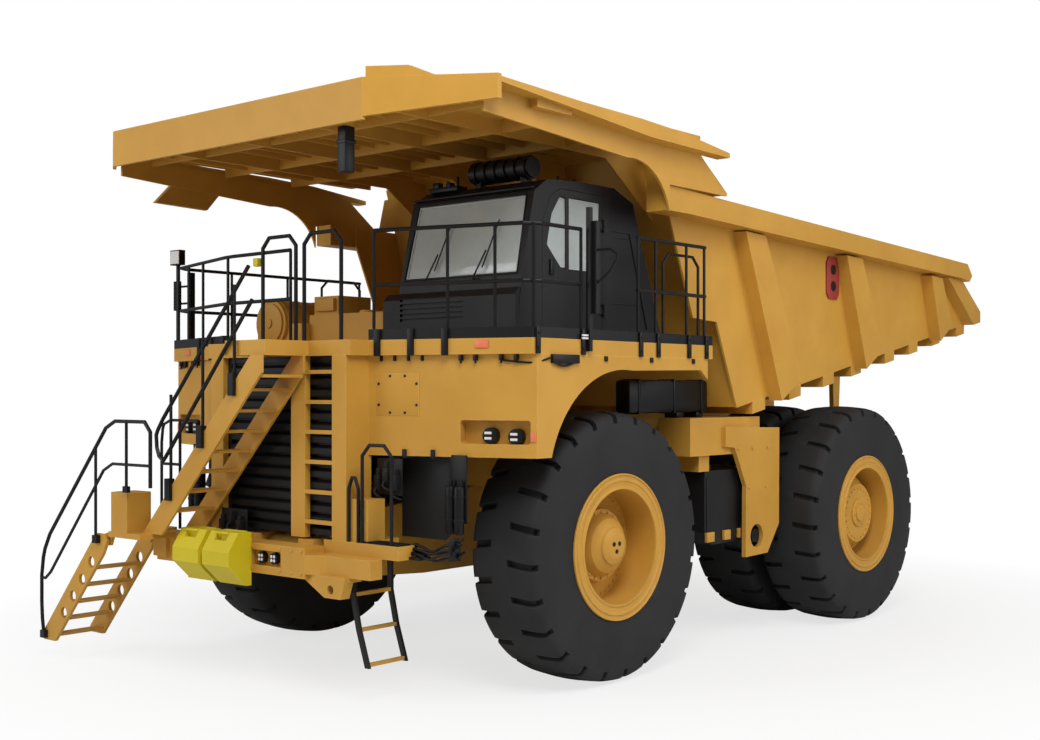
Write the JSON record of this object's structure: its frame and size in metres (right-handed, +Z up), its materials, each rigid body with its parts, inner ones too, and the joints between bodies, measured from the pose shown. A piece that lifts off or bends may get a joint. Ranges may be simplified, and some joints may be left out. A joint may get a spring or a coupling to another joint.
{
  "type": "mining dump truck",
  "caption": "Rigid-frame mining dump truck with tipping body, canopy, twin rear wheels, deck cab, steering front wheels and lowered boarding stair.",
  "frame": {"origin": "centre of the bounding box on the ground plane under the tyres", "axes": "+Z up, -Y towards the front of the truck, +X towards its left side"},
  "size_m": [6.9083, 12.761, 6.26],
  "materials": {
    "body_yellow": "satin",
    "frame_yellow": "satin",
    "black_paint": "satin",
    "chock_yellow": "semi gloss",
    "tyre": "matte",
    "glass": "clear",
    "seat_cloth": "woven",
    "engine_iron": "dark",
    "steel": "ground"
  },
  "bodies": {
    "chassis": {"main_frame": "frame_yellow", "suspension_struts": "steel", "rear_axle": "frame_yellow", "engine_block": "engine_iron", "front_bumper": "frame_yellow", "radiator_grille": "black_paint", "front_fenders": "body_yellow", "deck": "body_yellow", "access_ladders": "frame_yellow", "lower_platform": "frame_yellow", "diagonal_stair": "frame_yellow", "handrails": "black_paint", "cab_shell": "black_paint", "cab_glass": "glass", "cab_base": "black_paint", "cab_seat": "seat_cloth", "roof_cylinder": "black_paint", "mirrors": "black_paint", "wheel_chocks": "chock_yellow", "air_cleaners": "body_yellow", "side_tanks": "black_paint", "guard_plates": "body_yellow"},
    "cab_door": {"cab_door": "black_paint", "door_glass": "glass"},
    "boarding_stair": {"boarding_stair": "frame_yellow", "boarding_rail": "black_paint"},
    "dump_body": {"body_sides": "body_yellow", "body_floor": "body_yellow", "body_headboard": "body_yellow", "body_canopy": "body_yellow", "rock_ejectors": "body_yellow"},
    "knuckle_left": {"knuckle_left": "engine_iron"},
    "front_wheel_left": {"front_tyre_left": "tyre", "front_rim_left": "body_yellow"},
    "rear_wheels_left": {"rear_tyres_left": "tyre", "rear_rims_left": "body_yellow"},
    "hoist_barrel_left": {"hoist_barrel_left": "black_paint"},
    "hoist_rod_left": {"hoist_rod_left": "steel"},
    "knuckle_right": {"knuckle_right": "engine_iron"},
    "front_wheel_right": {"front_tyre_right": "tyre", "front_rim_right": "body_yellow"},
    "rear_wheels_right": {"rear_tyres_right": "tyre", "rear_rims_right": "body_yellow"},
    "hoist_barrel_right": {"hoist_barrel_right": "black_paint"},
    "hoist_rod_right": {"hoist_rod_right": "steel"}
  },
  "joints": [
    {"name": "body_tip", "type": "hinge", "parent": "chassis", "child": "dump_body", "pos_m": [0.03, 3.47, 2.64], "axis": [-1, 0, 0], "range_deg": [0, 45]},
    {"name": "cab_door_hinge", "type": "hinge", "parent": "chassis", "child": "cab_door", "pos_m": [2.502, -2.97, 4.6], "axis": [0, 0, 1], "range_deg": [0, 65]},
    {"name": "boarding_stair_hinge", "type": "hinge", "parent": "chassis", "child": "boarding_stair", "pos_m": [-2.1, -6.005, 1.5], "axis": [0, 1, 0], "range_deg": [0, 75]},
    {"name": "steer_left", "type": "hinge", "parent": "chassis", "child": "knuckle_left", "pos_m": [1.73, -3.17, 1.485], "axis": [0, 0, 1], "range_deg": [-25, 25]},
    {"name": "front_wheel_spin_left", "type": "hinge", "parent": "knuckle_left", "child": "front_wheel_left", "pos_m": [2.46, -3.17, 1.485], "axis": [1, 0, 0], "continuous": true},
    {"name": "rear_wheels_spin_left", "type": "hinge", "parent": "chassis", "child": "rear_wheels_left", "pos_m": [2.175, 2.01, 1.485], "axis": [1, 0, 0], "continuous": true},
    {"name": "hoist_pivot_left", "type": "hinge", "parent": "chassis", "child": "hoist_barrel_left", "pos_m": [0.91, -0.88, 1.25], "axis": [1, 0, 0], "range_deg": [0, 9.98]},
    {"name": "hoist_rod_left", "type": "slide", "parent": "hoist_barrel_left", "child": "hoist_rod_left", "axis": [0, 0.7474, 0.6644], "range_m": [0, 1.8869]},
    {"name": "steer_right", "type": "hinge", "parent": "chassis", "child": "knuckle_right", "pos_m": [-1.67, -3.17, 1.485], "axis": [0, 0, 1], "range_deg": [-25, 25]},
    {"name": "front_wheel_spin_right", "type": "hinge", "parent": "knuckle_right", "child": "front_wheel_right", "pos_m": [-2.4, -3.17, 1.485], "axis": [1, 0, 0], "continuous": true},
    {"name": "rear_wheels_spin_right", "type": "hinge", "parent": "chassis", "child": "rear_wheels_right", "pos_m": [-2.115, 2.01, 1.485], "axis": [1, 0, 0], "continuous": true},
    {"name": "hoist_pivot_right", "type": "hinge", "parent": "chassis", "child": "hoist_barrel_right", "pos_m": [-0.85, -0.88, 1.25], "axis": [1, 0, 0], "range_deg": [0, 9.98]},
    {"name": "hoist_rod_right", "type": "slide", "parent": "hoist_barrel_right", "child": "hoist_rod_right", "axis": [0, 0.7474, 0.6644], "range_m": [0, 1.8869]}
  ],
  "couplings": [
    {"joint": "steer_right", "follows": "steer_left", "ratio": 1},
    {"joint": "hoist_pivot_left", "follows": "body_tip", "ratio": 0.21059},
    {"joint": "hoist_rod_left", "follows": "body_tip", "m_per_rad": 2.3999},
    {"joint": "hoist_pivot_right", "follows": "body_tip", "ratio": 0.21059},
    {"joint": "hoist_rod_right", "follows": "body_tip", "m_per_rad": 2.3999}
  ]
}
